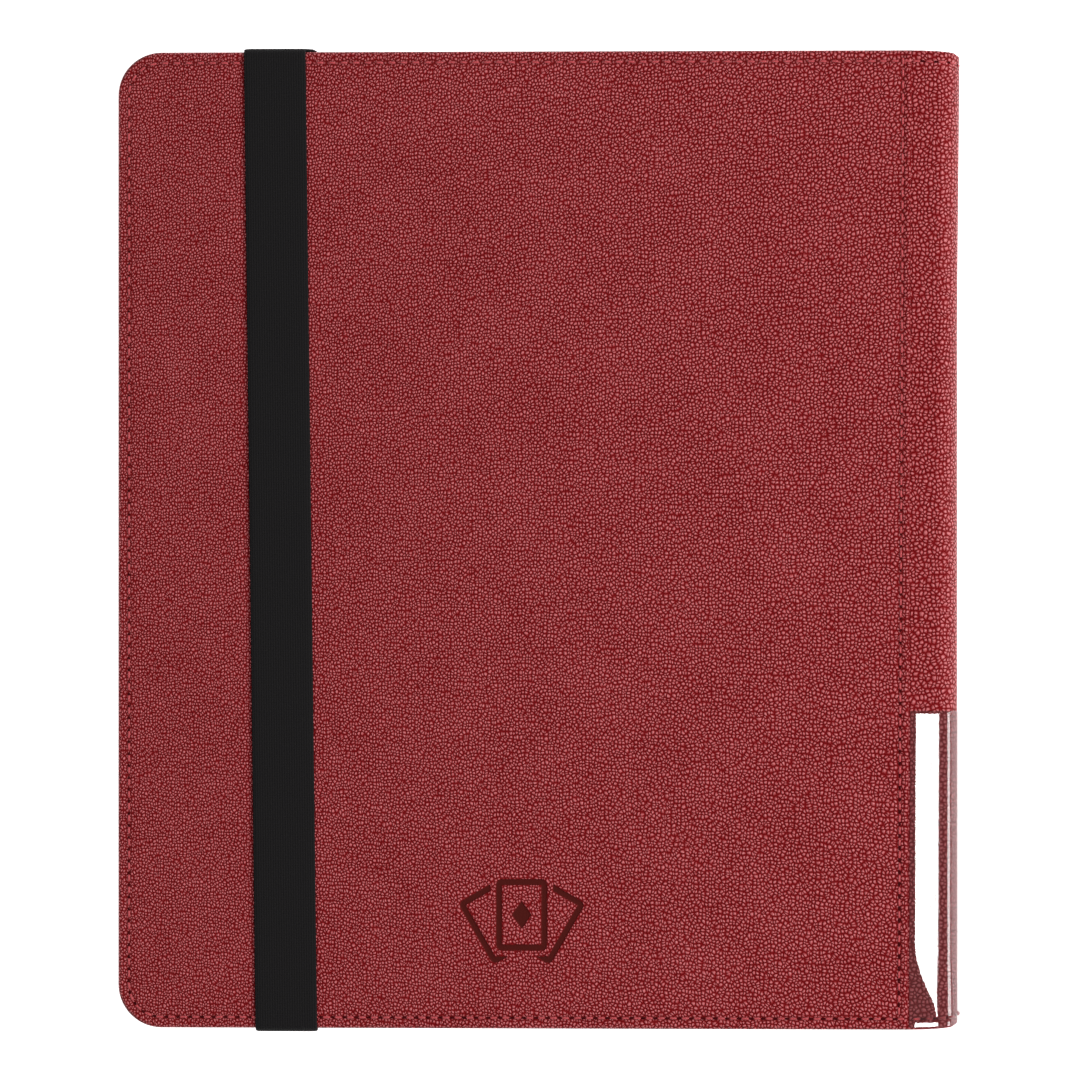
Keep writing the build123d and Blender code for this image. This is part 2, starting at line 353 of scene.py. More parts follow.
def cover_leather(name, place, flip, badge):
    """The skin: a sheet with a turned edge on three sides and a raised fold along the seam."""
    inner_x = -cover_length + corner_radius
    inner_y = half_height - corner_radius
    window_x = -badge_from_seam + np.array([-badge_half_width, badge_half_width])
    window_y = -half_height + badge_from_tail + np.array([-badge_below, badge_above])
    # Distances from the seam, close together over the raised fold and its edge.
    near_seam = [
        9, 7, 5.6, 4.6, 3.9, 3.4, 3.0, 2.7, 2.4, 2.0, 1.6, 1.25, 0.95, 0.7, 0.5, 0.35, 0.22,
        0.1, 0.02, 0.0, 0.0,
    ]
    columns = np.concatenate([
        spaced(inner_x, window_x[0], cover_grid), spaced(*window_x, cover_grid)[1:],
        spaced(window_x[1], -12, cover_grid)[1:], -np.array(near_seam),
    ])
    inset = -columns
    rounded = np.sqrt(np.clip(1 - (1 - inset / ridge_round) ** 2, 0, 1))
    swell = ridge_rise * smooth_step(inset, ridge_width, ridge_round)
    swell = swell * np.where(inset < ridge_round, rounded, 1.0)
    fall = groove_depth * bell(inset - seam_stitch_inset, groove_width) - swell
    # The fold's edge drops to the spine's leather.
    fall[-3:] = (0.2, 0.5, lap_depth)
    rows = np.concatenate([
        spaced(-inner_y, window_y[0], cover_grid), spaced(*window_y, cover_grid)[1:],
        spaced(window_y[1], inner_y, cover_grid)[1:],
    ])

    # The flat of the cover
    points, unrolled = [], []
    for y in rows:
        near = smooth_step(inset, *slant_fades)
        points += [(x + seam_shift(y) * n, y, z) for x, z, n in zip(columns, fall, near)]
        unrolled += [(x - 2 * i / len(columns) * (x > -0.05), y) for i, x in enumerate(columns)]
    faces = grid_faces(len(rows), len(columns))
    if badge:
        middle = np.array([points[f[0]][:2] for f in faces]) + 1.0
        kept = ~((middle[:, 0] > window_x[0]) & (middle[:, 0] < window_x[1])
                 & (middle[:, 1] > window_y[0]) & (middle[:, 1] < window_y[1]))
        faces = [face for face, keep in zip(faces, kept) if keep]

    # The rim, ring by ring from the flat to the flap, along the tail, fore edge and head
    rim = [(columns[i], -inner_y, (0, -1), fall[i]) for i in range(len(columns))][::-1]
    corner_steps = 14
    for corner_y, first in ((-inner_y, 270), (inner_y, 180)):
        if corner_y > 0:
            rim += [(inner_x, y, (-1, 0), 0) for y in rows[1:-1]]
        for step in range(corner_steps + 1):
            angle = math.radians(first - 90 * step / corner_steps)
            rim.append((inner_x, corner_y, (math.cos(angle), math.sin(angle)), 0))
    rim += [(columns[i], inner_y, (0, 1), fall[i]) for i in range(len(columns))]
    turned = edge_profile(turn_in_depth, edge_rounding, turn_in_rounding, corner_radius - 0.5)
    face_insets = [
        1.6, 2.0, 2.4, 2.7, 3.0, 3.25, 3.5, 3.75, 4.0, 4.3, 4.6, 5.0, 5.6, 7, 9, 11.5, 14,
    ]
    profile = turned + [(edge, float(groove(edge))) for edge in face_insets]
    start = len(points)
    steps = np.hypot(*np.diff(np.array(profile), axis=0).T)
    unrolled_reach = np.append(np.cumsum(steps[::-1])[::-1], 0)
    for (edge, depth), out in zip(profile, unrolled_reach):
        for x, y, (nx, ny), drop in rim:
            unrolled.append((x + nx * out, y + ny * out))
            along = corner_radius - edge
            near = float(smooth_step(-x, *slant_fades))
            flat = max(0.0, 1 - depth / lap_depth) if edge < stitch_inset - 1 else 1.0
            px = x + nx * along + seam_shift(y) * near
            blend = max(drop, 0) if drop > 0.19 and depth < drop else drop * flat
            points.append((px, y + ny * along, depth + blend if blend < 0 else max(depth, blend)))
    faces += grid_faces(len(profile), len(rim), start, flip=True)

    # The pressed badge, on a grid fine enough for its edges
    if badge:
        xs, ys = spaced(*window_x, badge_grid), spaced(*window_y, badge_grid)
        gx, gy = np.meshgrid(xs, ys)
        down = press_depth * badge_pressed(gx, gy)
        start = len(points)
        points += list(np.stack([gx.ravel(), gy.ravel(), down.ravel()], 1))
        unrolled += list(np.stack([gx.ravel(), gy.ravel()], 1))
        faces += grid_faces(len(ys), len(xs), start)
    if not flip:
        faces = [face[::-1] for face in faces]
    unrolled = np.array(unrolled)
    unrolled *= grain_at_seam - grain_gain * unrolled[:, :1]
    skin = add_piece(name, place(points), faces, red_leatherette, unrolled=unrolled)
    x, y, depth = np.asarray(points, float).T
    edge = np.minimum(half_height - np.abs(y), x + cover_length)
    # Painted shade: the stitch groove's colour darkens with its depth, and its grain flattens.
    sewn = groove_press_and_shade * np.clip(depth / groove_depth, 0, 1) * (edge > 1.3) * (x < -0.9)
    pressed = np.maximum(badge_pressed(x, y), sewn) if badge else sewn
    skin.data.attributes.new("pressed", "FLOAT", "POINT").data.foreach_set("value", pressed)
    return skin


back_cover = cover_leather("back_cover_skin", on_back, True, True)
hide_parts("back_cover_leather")
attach(back_cover, "back_cover")
front_cover = cover_leather("front_cover_skin", on_front, False, False)
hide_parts("front_cover_leather")
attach(front_cover, "front_cover")


# ---------------------------------------------------------------------------------------------
# Spine leather with its two soft hinges.
# The same leatherette, unbacked where it bends, wraps from under one cover's lap round the
# spine board to the other's. Its head and tail are turned in and stitched.
# ---------------------------------------------------------------------------------------------
hinge_radius = 7.0
hinge_thickness = 1.3
spine_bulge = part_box("spine_leather")[1].x * 1000 - seam_x
lap_width = 7.6
fold_grid = 1.2
head_bulge = 0.7
end_draw = 0.9
corner_draw = 0.6
bend_from_seam = 3.0
bend_depths = (0.8, 12.0)


def fold_points(depth, start_x, slope, arc_steps=16):
    """The fold from cover to spine, depth mm under the cover's outer face, with its normals.

    In X and depth from the front cover's outer face, from start_x to the middle of the spine.
    """
    radius = hinge_radius + lap_depth - depth
    side_x = spine_bulge + lap_depth - depth
    centre_x = side_x - radius
    hinge_x = front_fold.x - seam_x
    hinge_depth = front_fold.z
    rise = (hinge_depth - depth) / math.cos(slope)
    centre_z = (
        hinge_depth - rise + (hinge_x - centre_x) * math.tan(slope) + radius / math.cos(slope)
    )
    line = [
        (x, hinge_depth - rise + (hinge_x - x) * math.tan(slope))
        for x in spaced(start_x, centre_x - radius * math.sin(slope), fold_grid)[:-1]
    ]
    points = [(x, z, -math.sin(slope), -math.cos(slope)) for x, z in line]
    for angle in np.linspace(-slope, math.pi / 2, arc_steps):
        away = (math.sin(angle), -math.cos(angle))
        points.append((centre_x + radius * away[0], centre_z + radius * away[1], *away))
    middle = binder_thickness / 2
    for z in spaced(points[-1][1], middle, fold_grid)[1:]:
        points.append((side_x, z, 1.0, 0.0))
    return np.array(points)


def on_front_side(x, y, z):
    return np.stack([x + seam_x, y, z], 1)


def on_back_side(x, y, z):
    return np.stack([x + seam_x, y, binder_thickness - z], 1)


def end_taper(x, y):
    """How far the spine's head and tail edges draw in toward its middle, away from the seam."""
    draw = end_draw * (np.clip(x, 0, None) / spine_bulge) ** 2
    corner = draw + corner_draw * smooth_step(x, 13.6, spine_bulge)
    return math.copysign(1, y) * smooth_step(abs(y), 140, 158) * corner


def head_swell(x, y):
    """How much fuller the spine stands toward its head, away from the seam."""
    return head_bulge * smooth_step(y, 60, 158) * smooth_step(x, 5.0, spine_bulge)


def wrapped(name, place, slope, start_x, depth, rows, material, flip, lift=None):
    """A skin round the fold: rows of (y, inset into the skin), closed into a loop."""
    fold = fold_points(depth, start_x, slope, arc_steps=16 if lift is None else 48)
    # Counted from the middle of the spine, where the front half's grain runs on into the back's.
    along = np.append(0, np.cumsum(np.hypot(*np.diff(fold[:, :2], axis=0).T)))
    along = (along[-1] - along) * (1 if flip else -1)
    down = np.append(0, np.cumsum(np.hypot(*np.diff(np.array(rows), axis=0).T)))
    points, unrolled = [], []
    for (y, inset), turned in zip(rows, down):
        head = head_swell(fold[:, 0], y) if lift is None else 0.0
        inset = inset - (0.0 if lift is None else lift(fold[:, 0], y))
        x = fold[:, 0] - fold[:, 2] * inset + head
        z = fold[:, 1] - fold[:, 3] * inset
        unrolled += [(a, turned) for a in along]
        x = x + seam_shift(y) * (1 - smooth_step(fold[:, 0], 2.0, 14.0))
        points.append(place(x, y - end_taper(fold[:, 0], y), z))
    faces = grid_faces(len(rows), len(fold), flip=flip, close=True)
    unrolled = np.array(unrolled) * spine_grain
    return add_piece(name, np.concatenate(points), faces, material, unrolled=unrolled)


def skin_rows(thickness):
    """Rows from tail to head over the outside, with the turned and stitched ends, and back."""
    edge = edge_profile(thickness, 0.9, 0.3, 9.0)
    face = [1.3, 1.8, 2.3, 2.7, 3.0, 3.25, 3.5, 3.75, 4.0, 4.3, 4.7, 5.3, 6.5, 9]
    tail = [(-half_height + inset, depth) for inset, depth in edge]
    tail += [(-half_height + inset, float(groove(inset))) for inset in face]
    middle = [(y, 0.0) for y in spaced(-half_height + 9, half_height - 9, 3.0)[1:-1]]
    return tail + middle + [(-y, inset) for y, inset in reversed(tail)]


hinges = {}
for side, body, place, slope, flip in (
    ("front", "front_cover", on_front_side, 0.0, True),
    ("back", "back_cover", on_back_side, cover_tilt, False),
):
    skin = wrapped(
        f"{side}_hinge_and_spine_skin", place, slope, -lap_width, lap_depth,
        skin_rows(hinge_thickness), red_leatherette, flip,
    )
    # Where the hinge bends, between the cover's fold line and the flat of the spine, is only noted
    # here; nothing in this script bends it.
    level = 0.0 if side == "front" else binder_thickness
    inward = 1 if side == "front" else -1
    bend_start = Vector((seam_x + bend_from_seam, 0, level + inward * bend_depths[0])) / 1000
    bend_end = Vector((seam_x + spine_bulge, 0, level + inward * bend_depths[1])) / 1000
    hinges[side] = (body, bend_start, bend_end)
    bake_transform(skin)
    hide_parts(f"{side}_hinge_leather")
    if side == "back":
        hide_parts("spine_leather")


# ---------------------------------------------------------------------------------------------
# Clear label window.
# A strip of soft clear vinyl over the tail third of the spine, sewn in at the tail and caught
# under both seams, open at the top so that a paper label slides in.
# ---------------------------------------------------------------------------------------------
window_low, window_high = [corner * 1000 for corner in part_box("label_window")]
window_thickness = 0.3
film_edge = 0.35
film_slope = 0.1
film_sinks = 0.03
window_depth = lap_depth - (window_high.x - seam_x - spine_bulge)

# Clear and glossy with faint waves along it: the leather shows darker through it, under clean
# white bands where it mirrors a lamp.
clear_vinyl, tree, shader = new_material("clear_vinyl")
place_in = add_node(tree, "ShaderNodeTexCoord").outputs["Object"]
stretched = add_node(tree, "ShaderNodeMapping", {"Scale": (120.0, 14.0, 120.0)}, Vector=place_in)
waves = add_node(tree, "ShaderNodeTexNoise", {"Scale": 1.0, "Detail": 1.0}, Vector=stretched)
bump = add_node(tree, "ShaderNodeBump", {"Strength": 0.05, "Distance": 0.001}, Height=waves)
tree.links.new(bump.outputs[0], shader.inputs["Normal"])
shader.inputs["Base Color"].default_value = to_linear("66383a")
shader.inputs["Roughness"].default_value = 0.05
shader.inputs["IOR"].default_value = 1.9
shader.inputs["Specular IOR Level"].default_value = 1.0
shader.inputs["Alpha"].default_value = 0.22


# How far the film stands off the leather, by distance from the seam: it stays flat past the start
# of the fold, then turns more sharply.
film_gap = (
    (8.1, 8.5, 9.0, 9.5, 9.9, 10.9, 12.1, 12.6, 13.0, 14.0, 15.0, 15.5),
    (0.0, 0.013, 0.062, 0.146, 0.235, 0.46, 0.82, 0.88, 0.76, 0.47, 0.2, 0.08),
)


def film_lift(x, y):
    """The film rises from the seam, and for longer where the tail stitching gathers it."""
    gather = smooth_step(y, -131, -154) * smooth_step(y, -154.8, -153.8)
    rise_ends = 2.2 + 6.6 * gather
    return film_slope * np.minimum(x, rise_ends) - film_sinks + np.interp(x, *film_gap)


# Rows of points up from the film's tail edge, close together where the stitching gathers it.
film_hem = np.array([0.3, 0.8, 1.4, 2.0, 2.3, 2.6, 2.9, 3.2, 3.5, 3.8, 4.2, 5.0])

for side, (body, bend_start, bend_end) in hinges.items():
    place, slope = (on_front_side, 0.0) if side == "front" else (on_back_side, cover_tilt)
    low, high = window_low.y, window_high.y
    t = window_thickness
    rows = [(low, t), (low, 0.08), (low + 0.06, 0.0)]
    across = np.append(low + film_hem, spaced(low + 6, high - 1, 2.5))
    rows += [(y, 0.0) for y in across]
    rows += [(high - 0.06, 0.0), (high, 0.08), (high, t)]
    rows += [(y, t) for y in across[::-1]]
    film = wrapped(
        f"{side}_label_film", place, slope, film_edge, window_depth, rows, clear_vinyl,
        side == "front", lift=film_lift,
    )
    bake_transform(film)
    if side == "back":
        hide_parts("label_window")


# ---------------------------------------------------------------------------------------------
# Stitching.
# One row of bonded polyester thread round each cover and over the spine's head and tail, and a
# row along each seam. Each stitch dives into a needle hole in the pressed-down groove, drawn as a
# dark oval of painted shade.
# ---------------------------------------------------------------------------------------------
stitch_pitch = 3.85
thread_width = 0.82
thread_length = 2.6
needle_hole = 1.8
needle_hole_half_width = 0.42
stitch_stand = 0.17

def speckled(name, scale, detail, stops, strength, rise, roughness):
    """A plain material with a speckle, scale of them to the metre, in its colour and surface."""
    material, tree, shader = new_material(name)
    place_in = add_node(tree, "ShaderNodeTexCoord").outputs["Object"]
    speckle = add_node(
        tree, "ShaderNodeTexNoise", {"Scale": scale, "Detail": detail}, Vector=place_in
    )
    tone = add_node(tree, "ShaderNodeValToRGB", {"stops": stops}, in0=speckle)
    tree.links.new(tone.outputs[0], shader.inputs["Base Color"])
    if strength:
        settings = {"Strength": strength, "Distance": rise}
        bump = add_node(tree, "ShaderNodeBump", settings, Height=speckle)
        tree.links.new(bump.outputs[0], shader.inputs["Normal"])
    shader.inputs["Roughness"].default_value = roughness
    return material, shader


# Red thread with a soft sheen, brighter and darker every 0.3 mm as its plies turn.
sewing_thread, shader = speckled(
    "bonded_polyester_thread", 1000 / 0.3, 2.0,
    [(0.25, "84191f"), (0.5, "b5343b"), (0.8, "d45d64")], 0.5, 0.0001, 0.5,
)
shader.inputs["Sheen Weight"].default_value = 0.3

# Painted shade: nearly black and without gloss, as the shaded inside of a small pit in red leather
# looks.
needle_hole_shade_look, shader = speckled(
    "needle_hole_shadow", 1500.0, 2.0, [(0.3, "2c0406"), (0.7, "4e0b0e")], 0.0, 0.0, 0.95
)
shader.inputs["Specular IOR Level"].default_value = 0.05


def thread_shape():
    """One stitch: a three-ply twisted rod whose ends dive down, along X, in metres."""
    rings, sides = 9, 9
    points, faces = [], []
    for ring in range(rings):
        t = ring / (rings - 1) * 2 - 1
        taper = max(0.12, 1 - abs(t) ** 6) ** 0.5
        for spoke in range(sides):
            angle = 2 * math.pi * spoke / sides + t * 1.9
            radius = thread_width / 2 * taper * (1 + 0.12 * math.cos(3 * angle - 5 * t))
            points.append((
                t * thread_length / 2, radius * math.cos(angle),
                0.82 * radius * math.sin(angle) - 0.3 * abs(t) ** 4,
            ))
    for ring in range(rings - 1):
        for spoke in range(sides):
            a, b = ring * sides + spoke, ring * sides + (spoke + 1) % sides
            faces.append((a, b, b + sides, a + sides))
    faces.append(tuple(range(sides))[::-1])
    faces.append(tuple(range((rings - 1) * sides, rings * sides)))
    return [f[::-1] for f in faces], points


def hole_shade_shape():
    """A shallow dark oval of painted shade, along X."""
    sides = 10
    points = [(0, 0, 0.03)]
    for spoke in range(sides):
        angle = 2 * math.pi * spoke / sides
        points.append((
            needle_hole / 2 * math.cos(angle), needle_hole_half_width * math.sin(angle), -0.02
        ))
    return [(0, i + 1, (i + 1) % sides + 1) for i in range(sides)], points


def stitching_tree():
    """Stitches set at an even pitch along a path that carries its upward direction."""
    tree = bpy.data.node_groups.new("stitching", "GeometryNodeTree")
    tree.is_modifier = True
    tree.interface.new_socket("Geometry", in_out="INPUT", socket_type="NodeSocketGeometry")
    for name in ("Pitch", "Start", "Turn", "Size Change"):
        tree.interface.new_socket(name, in_out="INPUT", socket_type="NodeSocketFloat")
    tree.interface.new_socket("Stitch", in_out="INPUT", socket_type="NodeSocketObject")
    tree.interface.new_socket("Material", in_out="INPUT", socket_type="NodeSocketMaterial")
    tree.interface.new_socket("Geometry", in_out="OUTPUT", socket_type="NodeSocketGeometry")
    given = add_node(tree, "NodeGroupInput").outputs
    curve = add_node(tree, "GeometryNodeMeshToCurve", in0=given["Geometry"]).outputs[0]
    length = add_node(tree, "GeometryNodeCurveLength", in0=curve).outputs[0]
    trimmed = add_node(tree, "GeometryNodeTrimCurve", {"mode": "LENGTH"}, in0=curve)
    tree.links.new(given["Start"], [s for s in trimmed.inputs if s.name == "Start"][-1])
    tree.links.new(length, [s for s in trimmed.inputs if s.name == "End"][-1])
    spread = add_node(
        tree, "GeometryNodeResampleCurve", {"mode": "LENGTH"},
        in0=trimmed.outputs[0], Length=given["Pitch"],
    ).outputs[0]
    up = add_node(
        tree, "GeometryNodeInputNamedAttribute", {"data_type": "FLOAT_VECTOR", "Name": "up"}
    )
    up = [s for s in up.outputs if s.enabled][0]
    along = add_node(tree, "GeometryNodeInputTangent").outputs[0]
    upright = add_node(
        tree, "FunctionNodeAlignRotationToVector", {"axis": "Z"}, Vector=up
    ).outputs[0]
    turned = add_node(
        tree, "FunctionNodeAlignRotationToVector", {"axis": "X", "pivot_axis": "Z"},
        Rotation=upright, Vector=along,
    ).outputs[0]
    low = add_node(tree, "ShaderNodeMath", {"operation": "MULTIPLY"}, in0=given["Turn"], in1=-1.0)
    wobble = add_node(tree, "FunctionNodeRandomValue", {"data_type": "FLOAT", "Seed": 4})
    tree.links.new(low.outputs[0], wobble.inputs[2])
    tree.links.new(given["Turn"], wobble.inputs[3])
    twist = add_node(tree, "ShaderNodeCombineXYZ", Z=wobble.outputs[1]).outputs[0]
    twist = add_node(tree, "FunctionNodeEulerToRotation", in0=twist).outputs[0]
    turned = add_node(
        tree, "FunctionNodeRotateRotation", {"rotation_space": "LOCAL"},
        Rotation=turned, Rotate_By=twist,
    ).outputs[0]
    shrink = add_node(
        tree, "ShaderNodeMath", {"operation": "SUBTRACT"}, in0=1.0, in1=given["Size Change"]
    )
    size = add_node(tree, "FunctionNodeRandomValue", {"data_type": "FLOAT", "Seed": 9})
    tree.links.new(shrink.outputs[0], size.inputs[2])
    size.inputs[3].default_value = 1.0
    stitch = add_node(tree, "GeometryNodeObjectInfo", Object=given["Stitch"])
    set_down = add_node(
        tree, "GeometryNodeInstanceOnPoints", Points=spread, Instance=stitch.outputs["Geometry"],
        Rotation=turned, Scale=size.outputs[1],
    ).outputs[0]
    real = add_node(tree, "GeometryNodeRealizeInstances", in0=set_down).outputs[0]
    finished = add_node(tree, "GeometryNodeSetMaterial", Geometry=real, Material=given["Material"])
    add_node(tree, "NodeGroupOutput", Geometry=finished.outputs[0])
    return tree


sew = stitching_tree()
stitch_shapes = {}
for name, shape, look in (
    ("thread", thread_shape, sewing_thread), ("needle_holes", hole_shade_shape, needle_hole_shade_look)
):
    faces, points = shape()
    stitch_shapes[name] = add_piece(f"{name}_shape", np.array(points), faces, look)


def stitch_row(name, path, up, start, kind):
    """Sews along a path of points in mm and returns the stitches as one plain mesh."""
    shape = stitch_shapes[kind]
    mesh = bpy.data.meshes.new(name + "_path")
    links = [(i, i + 1) for i in range(len(path) - 1)]
    mesh.from_pydata([tuple(p) for p in np.asarray(path) / 1000], links, [])
    mesh.attributes.new("up", "FLOAT_VECTOR", "POINT").data.foreach_set("vector", np.ravel(up))
    line = bpy.data.objects.new(name + "_path", mesh)
    bpy.context.scene.collection.objects.link(line)
    modifier = line.modifiers.new("stitching", "NODES")
    modifier.node_group = sew
    inputs = [item for item in sew.interface.items_tree if item.in_out == "INPUT"]
    keys = {item.name: item.identifier for item in inputs}
    values = {
        "Pitch": stitch_pitch / 1000, "Start": start / 1000, "Turn": 0.06, "Size Change": 0.08,
        "Stitch": shape, "Material": shape.data.materials[0],
    }
    for key, value in values.items():
        modifier[keys[key]] = value
    evaluated = line.evaluated_get(bpy.context.evaluated_depsgraph_get())
    sewn = bpy.data.meshes.new_from_object(evaluated)
    line.modifiers.clear()
    bpy.data.objects.remove(line)
    sewn.name = name
    sewn.polygons.foreach_set("use_smooth", [True] * len(sewn.polygons))
    piece = bpy.data.objects.new(name, sewn)
    bpy.context.scene.collection.objects.link(piece)
    return piece


def both_kinds(name, path, up, start=1.9):
    """The thread of a row, and the painted shade of its needle holes half a pitch along."""
    up = np.broadcast_to(np.asarray(up, float), (len(path), 3))
    return [
        stitch_row(f"{name}_{kind}", path, up, start + shift, kind)
        for kind, shift in (("thread", 0.0), ("needle_holes", stitch_pitch / 2))
    ]


def cover_stitch_path():
    """Round the cover from the tail end of the seam to its head end, in the groove."""
    inner_x = -cover_length + corner_radius
    inner_y = half_height - corner_radius
    reach = corner_radius - stitch_inset
    path = [(x, -inner_y - reach) for x in spaced(inner_x, -0.8, 6.0)[::-1]]
    for corner_y, first in ((-inner_y, 270), (inner_y, 180)):
        if corner_y > 0:
            path += [(inner_x - reach, y) for y in spaced(-inner_y, inner_y, 6.0)[1:-1]]
        for angle in np.radians(np.linspace(first, first - 90, 25)):
            path.append((inner_x + reach * math.cos(angle), corner_y + reach * math.sin(angle)))
    path += [(x, inner_y + reach) for x in spaced(inner_x, -0.8, 6.0)[1:]]
    return np.array([(x, y, groove_depth - stitch_stand) for x, y in path])


def seam_stitch_path():
    """Along the cover's folded edge, beside the seam."""
    ys = spaced(-half_height + stitch_inset, half_height - stitch_inset, 5.0)
    depth = groove_depth - stitch_stand
    return np.array([(-seam_stitch_inset + seam_shift(y), y, depth) for y in ys])


back_up = on_back(np.array([[0, 0, -1.0], [0, 0, 0]]))
back_up = back_up[0] - back_up[1]
for side, place, up in (("front", on_front, (0, 0, -1)), ("back", on_back, back_up)):
    pieces = both_kinds(f"{side}_cover_edge", place(cover_stitch_path()), up)
    pieces += both_kinds(f"{side}_seam", place(seam_stitch_path()), up, start=2.6)
    for piece in pieces:
        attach(piece, f"{side}_cover")

for side, (body, bend_start, bend_end) in hinges.items():
    place, slope = (on_front_side, 0.0) if side == "front" else (on_back_side, cover_tilt)
    turn = 1 if side == "front" else -1
    for end in (-1, 1):
        depth = window_depth if end < 0 else lap_depth
        fold = fold_points(depth, 1.6, slope)
        y = end * (half_height - stitch_inset)
        # In the leather's groove at the head, and on the film, which has none, at the tail.
        lift = 0.12 - groove_depth if end > 0 else 0.05
        x = fold[:, 0] + fold[:, 2] * lift + head_swell(fold[:, 0], y)
        z = fold[:, 1] + fold[:, 3] * lift
        up = np.stack([fold[:, 2], np.zeros(len(fold)), fold[:, 3] * turn], 1)
        name = f"{side}_spine_{'head' if end > 0 else 'tail'}"
        for piece in both_kinds(name, place(x, y - end_taper(fold[:, 0], y), z), up, start=0.6):
            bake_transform(piece)

for shape in stitch_shapes.values():
    bpy.data.objects.remove(shape)


# ---------------------------------------------------------------------------------------------
# Elastic strap.
# A 20 mm band of woven rubber-cored elastic. It lies across the back cover, wraps over its head
# and tail edges and is sewn down under the lining. A finger pulls its middle sideways.
# ---------------------------------------------------------------------------------------------
strap_width = 20.0
strap_thickness = 1.0
strap_gap = 0.12
strap_from_fore_edge = 54.6
strap_slant = 0.68
strap_x = -cover_length + strap_from_fore_edge
strap_lean = math.tan(math.radians(strap_slant)) * half_height
pulled_half = 60.0
tab_reach = 11.5

# Dull black with fine ribs along it. The ribs are 0.8 mm apart and the picks 0.55 mm, a little
# coarser than the real weave.
elastic, tree, shader = new_material("woven_elastic")
strap_uv = add_node(tree, "ShaderNodeUVMap", {"uv_map": "unrolled"}).outputs[0]
split = add_node(tree, "ShaderNodeSeparateXYZ", in0=strap_uv)
ribs, picks = [
    add_node(tree, "ShaderNodeMath", {"operation": "SINE"}, in0=add_node(
        tree, "ShaderNodeMath", {"operation": "MULTIPLY"}, in0=position, in1=2 * math.pi / pitch))
    for position, pitch in ((split.outputs[0], 0.8), (split.outputs[1], 0.55))
]
multiply_add = {"operation": "MULTIPLY_ADD"}
weave = add_node(tree, "ShaderNodeMath", multiply_add, in0=picks, in1=0.45, in2=ribs)
fuzz = add_node(tree, "ShaderNodeTexNoise", {"Scale": 2.2, "Detail": 4.0}, Vector=strap_uv)
weave = add_node(tree, "ShaderNodeMath", multiply_add, in0=fuzz, in1=5.0, in2=weave)
tone = add_node(tree, "ShaderNodeMapRange", {"From Min": 0.0, "From Max": 5.0}, Value=weave)
stops = [(0.0, "0a090a"), (0.6, "141213"), (1.0, "1d1b1c")]
tone = add_node(tree, "ShaderNodeValToRGB", {"stops": stops}, in0=tone)
bump = add_node(tree, "ShaderNodeBump", {"Strength": 0.6, "Distance": 0.00006}, Height=weave)
tree.links.new(tone.outputs[0], shader.inputs["Base Color"])
tree.links.new(bump.outputs[0], shader.inputs["Normal"])
shader.inputs["Roughness"].default_value = 0.85
shader.inputs["Specular IOR Level"].default_value = 0.2


def strap_route():
    """Along the strap: Y, depth of its middle, and outward direction, from tail tab to head tab."""
    lift = -strap_gap - strap_thickness / 2
    edge = half_height + strap_gap + strap_thickness / 2
    board = turn_in_depth - 0.25
    half = []
    for y in [*spaced(0, pulled_half, 3.0), *spaced(pulled_half, half_height - 3.0, 3.0)[1:]]:
        half.append((y, lift, 0.0, -1.0))
    bend_starts = half_height - 1.3
    bend = edge - bend_starts
    for step in range(7):
        angle = math.radians(90 * step / 6)
        y, depth = bend_starts + bend * math.sin(angle), lift + bend * (1 - math.cos(angle))
        half.append((y, depth, math.sin(angle), -math.cos(angle)))
    under = 1.0
    for step in range(1, 6):
        angle = math.radians(90 * step / 5)
        y, depth = edge - under + under * math.cos(angle), board - under + under * math.sin(angle)
        half.append((y, depth, math.cos(angle), math.sin(angle)))
    for y in spaced(edge - under - 1, half_height - tab_reach, 2.0):
        half.append((y, board, 0.0, 1.0))
    return [(-y, d, -ny, nd) for y, d, ny, nd in reversed(half[1:])] + half


def strap_piece(name, route):
    """A flat band with rounded edges along part of the route."""
    across = np.array([-1.0, -0.985, -0.94, -0.8, -0.5, -0.2, 0.2, 0.5, 0.8, 0.94, 0.985, 1.0])
    swell = np.sqrt(np.clip(1 - np.abs(across) ** 24, 0.04, 1))
    ring = [(a, s) for a, s in zip(across, swell)] + [(a, -s) for a, s in zip(across, swell)][::-1]
    points, texture = [], []
    travelled = 0.0
    for i, (y, depth, ny, nd) in enumerate(route):
        if i:
            travelled += math.hypot(y - route[i - 1][0], depth - route[i - 1][1])
        leaning = -strap_lean * (1 + max(-1, min(1, y / half_height)))
        settle = float(smooth_step(depth, 0.8, 3.0)) if y > 0 else 0.0
        centre = strap_x + leaning * (1 - settle)
        for a, s in ring:
            out = s * strap_thickness / 2 * (0.5 if depth > 2.4 else 1.0)
            points.append((centre + a * strap_width / 2, y + ny * out, depth + nd * out))
            texture.append((a * strap_width / 2, travelled))
    columns = len(ring)
    faces = []
    for row in range(len(route) - 1):
        for column in range(columns):
            a = row * columns + column
            b = row * columns + (column + 1) % columns
            faces.append((a, b, b + columns, a + columns))
    # The cut ends have points of their own, so that the band's shading runs on to them.
    points += points[:columns] + points[-columns:]
    texture += texture[:columns] + texture[-columns:]
    faces.append(tuple(range(len(points) - 2 * columns, len(points) - columns))[::-1])
    faces.append(tuple(range(len(points) - columns, len(points))))
    faces = [face[::-1] for face in faces]
    piece = add_piece(name, on_back(points), faces, elastic, unrolled=texture)
    return piece


route = strap_route()
tail_end = [step for step in route if step[0] <= -pulled_half + 0.01]
band = [step for step in route if abs(step[0]) <= pulled_half + 0.01]
head_end = [step for step in route if step[0] >= pulled_half - 0.01]
strap_middle = strap_piece("strap_middle", band)
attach(strap_middle, "strap")
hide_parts("strap_band")
for side, part, node in ((-1, tail_end, "strap_tail_end"), (1, head_end, "strap_head_end")):
    piece = strap_piece(node.replace("_end", "_length"), part)
    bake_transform(piece)
    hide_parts(node)


